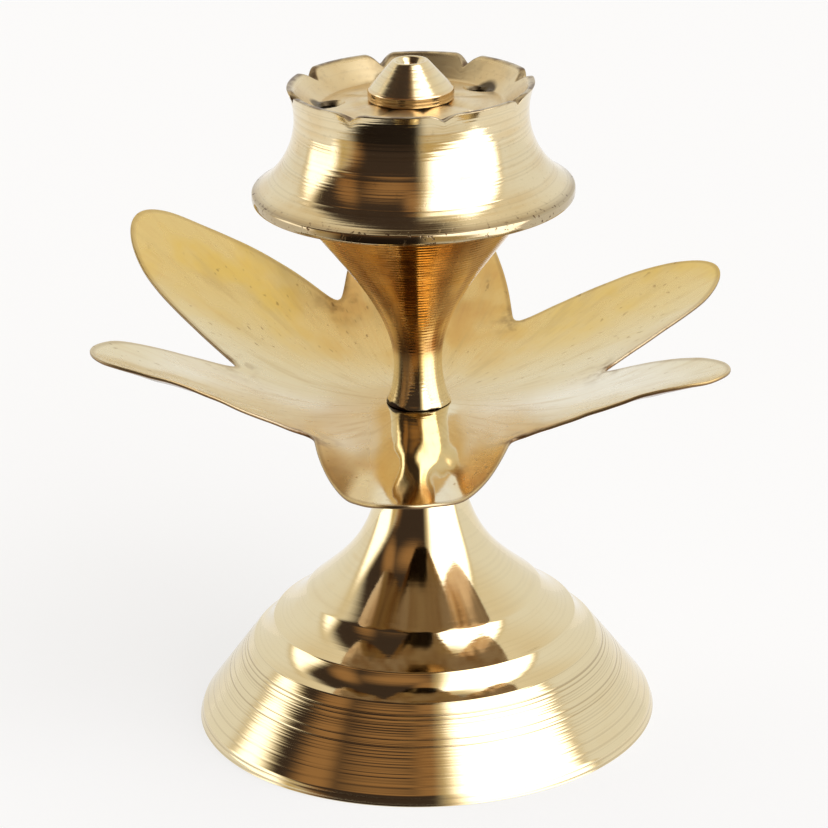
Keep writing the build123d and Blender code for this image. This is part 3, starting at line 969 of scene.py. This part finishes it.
nipple = turned(
    "cone_nipple_visual",
    [
        (line((0, SHANK_END), SHANK_EDGE, 0.3), {}),
        (line(SHANK_EDGE, SHANK_SIDE, 0.15), {}),
        (line(SHANK_SIDE, (SHANK_RADIUS, STEM_TOP), 0.1), {"thread": SHANK_THREAD}),
        (line((SHANK_RADIUS, STEM_TOP), (SHANK_RADIUS, NIPPLE_BASE), 1.0), {}),
        (line((SHANK_RADIUS, NIPPLE_BASE), (NIPPLE_RADIUS, NIPPLE_BASE), 0.3), {}),
        (line((NIPPLE_RADIUS, NIPPLE_BASE), (NIPPLE_RADIUS, BAND_TOP), 0.1), {"marks": 0.02}),
        (line((NIPPLE_RADIUS, BAND_TOP), (TIP_RADIUS, NIPPLE_TIP), 0.08), {"marks": 0.009}),
        (line((TIP_RADIUS, NIPPLE_TIP), (SINK_RADIUS, NIPPLE_TIP), 0.08), {}),
        (line((SINK_RADIUS, NIPPLE_TIP), SINK_FOOT, 0.1), {}),
        (line(SINK_FOOT, (CENTRE_HOLE_RADIUS, CENTRE_HOLE_END), 0.8), {}),
        (line((CENTRE_HOLE_RADIUS, CENTRE_HOLE_END), (0, CENTRE_HOLE_END), 0.4), {}),
        ([(0, CENTRE_HOLE_END)], {}),
    ],
    segments=144,
    material=nipple_brass,
    spacing=0.3,
    pitch=SHANK_PITCH,
    seed=31.0,
)
settle(nipple)
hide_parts("cone_nipple")
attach(nipple, "holder")

# Studio: a matt white table and backdrop, in a room that is white behind the stand and dark before it.
# A tall window stands at the right and a slanting one at the left. The camera looks down from the front.
# Table and camera are in metres and radians. The room's soft borders are turns and rises in degrees.
TABLE_FRONT = -0.06
TABLE_BACK = 0.70
TABLE_HALF_WIDTH = 0.60
TABLE_TOP = -0.00005
TABLE_GLOW = 0.75
TABLE_COLOUR = (0.98, 0.98, 0.98, 1.0)
BACK_WALL = (0.90, 0.90, 0.89, 1.0)
WARM_WALL = (0.84, 0.77, 0.64, 1.0)
CORNICE = (0.92, 0.84, 0.70, 1.0)
CEILING = (0.08, 0.055, 0.038, 1.0)
DARK_ROOM = (0.050, 0.034, 0.027, 1.0)
WARM_ROOM = (0.36, 0.195, 0.085, 1.0)
DARK_FLOOR = (0.018, 0.013, 0.011, 1.0)
CURTAIN = (0.62, 0.48, 0.24, 1.0)
WINDOW = (3.0, 3.0, 3.1, 1.0)
SIDE_WINDOW = (2.2, 2.2, 2.2, 1.0)
BACKDROP = (0.955, 0.955, 0.95, 1.0)
WARM_WALL_RISE = (22, 50)
CORNICE_RISE = (50, 66)
CEILING_RISE = (68, 82)
DARK_ROOM_RISE = (-22, -6)
SLANT_TURN = -95
SLANT_SLOPE = 0.7
SILL_TURN = 17
SILL_SLOPE = 0.6
FRONT_TURN = ((-76, -54), (2, 18))
UPPER_LEFT_TURN = ((-113, -97), (2, 18))
UPPER_LEFT_SLANT = (20, 36)
CURTAIN_TURN = ((2, 14), (84, 94))
CURTAIN_RISE = ((-44, -16), (66, 78))
WINDOW_TURN = ((8, 24), (80, 90))
WINDOW_SILL = (-8, 4)
WINDOW_HEAD = (60, 72)
SIDE_CURTAIN_TURN = ((-122, -108), (-70, -50))
SIDE_CURTAIN_RISE = (-28, -14)
SIDE_CURTAIN_SLANT = (22, 36)
SIDE_WINDOW_TURN = ((-116, -106), (-82, -70))
SIDE_WINDOW_RISE = (-20, -8)
SIDE_WINDOW_SLANT = (18, 32)
WARM_PATCHES = ((-22, 38, 46, 17), (-62, -4, 20, 22), (2, 54, 20, 22), (-66, 34, 18, 22))
CAMERA_PLACE = (0.0, -0.43407, 0.20888)
CAMERA_PITCH = 0.3660
CAMERA_YAW = -0.0016
CAMERA_ROLL = -0.0265
CAMERA_LENS = 152.17
CAMERA_SENSOR = 36.0
CAMERA_NEAREST = 0.01

table_white, start = new_material("table_white")
matt = {"Base Color": TABLE_COLOUR, "Roughness": 0.8, "Specular IOR Level": 0.1}
matt = start.node("ShaderNodeBsdfPrincipled", None, matt)
path = start.node("ShaderNodeLightPath", None, None, "Is Camera Ray")
rays = path.socket.node.outputs
seen = path + Wire(path.tree, rays["Is Glossy Ray"]) + Wire(path.tree, rays["Is Transmission Ray"])
glow = start.node("ShaderNodeEmission", None, {"Color": TABLE_COLOUR, "Strength": 1.0})
glow_share = seen.math("MINIMUM", 1.0) * TABLE_GLOW
surface = start.node("ShaderNodeMixShader", None, {0: glow_share, 1: matt, 2: glow})
start.node("ShaderNodeOutputMaterial", None, {"Surface": surface})
table_mesh = bpy.data.meshes.new("table")
table_corners = [
    (-TABLE_HALF_WIDTH, TABLE_FRONT, TABLE_TOP),
    (TABLE_HALF_WIDTH, TABLE_FRONT, TABLE_TOP),
    (TABLE_HALF_WIDTH, TABLE_BACK, TABLE_TOP),
    (-TABLE_HALF_WIDTH, TABLE_BACK, TABLE_TOP),
]
table_mesh.from_pydata(table_corners, [], [(0, 1, 2, 3)])
table = bpy.data.objects.new("table", table_mesh)
bpy.context.scene.collection.objects.link(table)
table.data.materials.append(table_white)
table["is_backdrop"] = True

world = bpy.data.worlds.new("studio")
bpy.context.scene.world = world
world.use_nodes = True
world.node_tree.nodes.clear()
start = Wire(world.node_tree)
x, y, z = start.node("ShaderNodeTexCoord", None, None, "Generated").xyz()
turn = x.math("ARCTAN2", 0 - y) * (180 / pi)
rise = z.math("ARCSINE") * (180 / pi)
slant = rise + (turn - SLANT_TURN) * SLANT_SLOPE
sill = rise + (turn - SILL_TURN) * SILL_SLOPE


def glow_patch(turn_middle, rise_middle, turn_reach, rise_reach):
    """Soft oval patch of the room, from 1 in its middle to 0 at its reach."""
    across = (turn - turn_middle) / turn_reach
    upward = (rise - rise_middle) / rise_reach
    return 1 - (across * across + upward * upward).math("SQRT").ease(0.2, 1.0)


front = turn.span(*FRONT_TURN)
upper_left = turn.span(*UPPER_LEFT_TURN) * slant.ease(*UPPER_LEFT_SLANT)
curtain = turn.span(*CURTAIN_TURN) * rise.span(*CURTAIN_RISE)
window = turn.span(*WINDOW_TURN) * sill.ease(*WINDOW_SILL) * (1 - rise.ease(*WINDOW_HEAD))
side_curtain = turn.span(*SIDE_CURTAIN_TURN) * rise.ease(*SIDE_CURTAIN_RISE)
side_curtain = side_curtain * (1 - slant.ease(*SIDE_CURTAIN_SLANT))
side_window = turn.span(*SIDE_WINDOW_TURN) * rise.ease(*SIDE_WINDOW_RISE)
side_window = side_window * (1 - slant.ease(*SIDE_WINDOW_SLANT))
warm = glow_patch(*WARM_PATCHES[0])
for patch_place in WARM_PATCHES[1:]:
    warm = warm.math("MAXIMUM", glow_patch(*patch_place))
room = rise.ease(*WARM_WALL_RISE).between(BACK_WALL, WARM_WALL)
room = rise.ease(*CORNICE_RISE).between(room, CORNICE)
room = rise.ease(*CEILING_RISE).between(room, CEILING)
dark = rise.ease(*DARK_ROOM_RISE).between(DARK_FLOOR, DARK_ROOM)
room = front.math("MAXIMUM", upper_left).between(room, warm.between(dark, WARM_ROOM))
room = side_curtain.between(room, CURTAIN)
room = side_window.between(room, SIDE_WINDOW)
room = curtain.between(room, CURTAIN)
room = window.between(room, WINDOW)
room = start.node("ShaderNodeLightPath", None, None, "Is Camera Ray").between(room, BACKDROP)
light = start.node("ShaderNodeBackground", None, {"Color": room, "Strength": 1.0})
start.node("ShaderNodeOutputWorld", None, {"Surface": light})

ahead = Vector((sin(CAMERA_YAW), cos(CAMERA_YAW), 0)) * cos(CAMERA_PITCH)
ahead.z = -sin(CAMERA_PITCH)
level = Vector((cos(CAMERA_YAW), -sin(CAMERA_YAW), 0))
upright = level.cross(ahead)
right = level * cos(CAMERA_ROLL) + upright * sin(CAMERA_ROLL)
up = upright * cos(CAMERA_ROLL) - level * sin(CAMERA_ROLL)
camera_data = bpy.data.cameras.new("photo_camera")
camera_data.lens = CAMERA_LENS
camera_data.sensor_width = CAMERA_SENSOR
camera_data.clip_start = CAMERA_NEAREST
camera = bpy.data.objects.new("photo_camera", camera_data)
camera.matrix_world = Matrix.Translation(CAMERA_PLACE) @ Matrix((right, up, -ahead)).transposed().to_4x4()
bpy.context.scene.collection.objects.link(camera)
bpy.context.scene.camera = camera
bpy.context.scene.view_settings.view_transform = "Standard"

low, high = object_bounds()
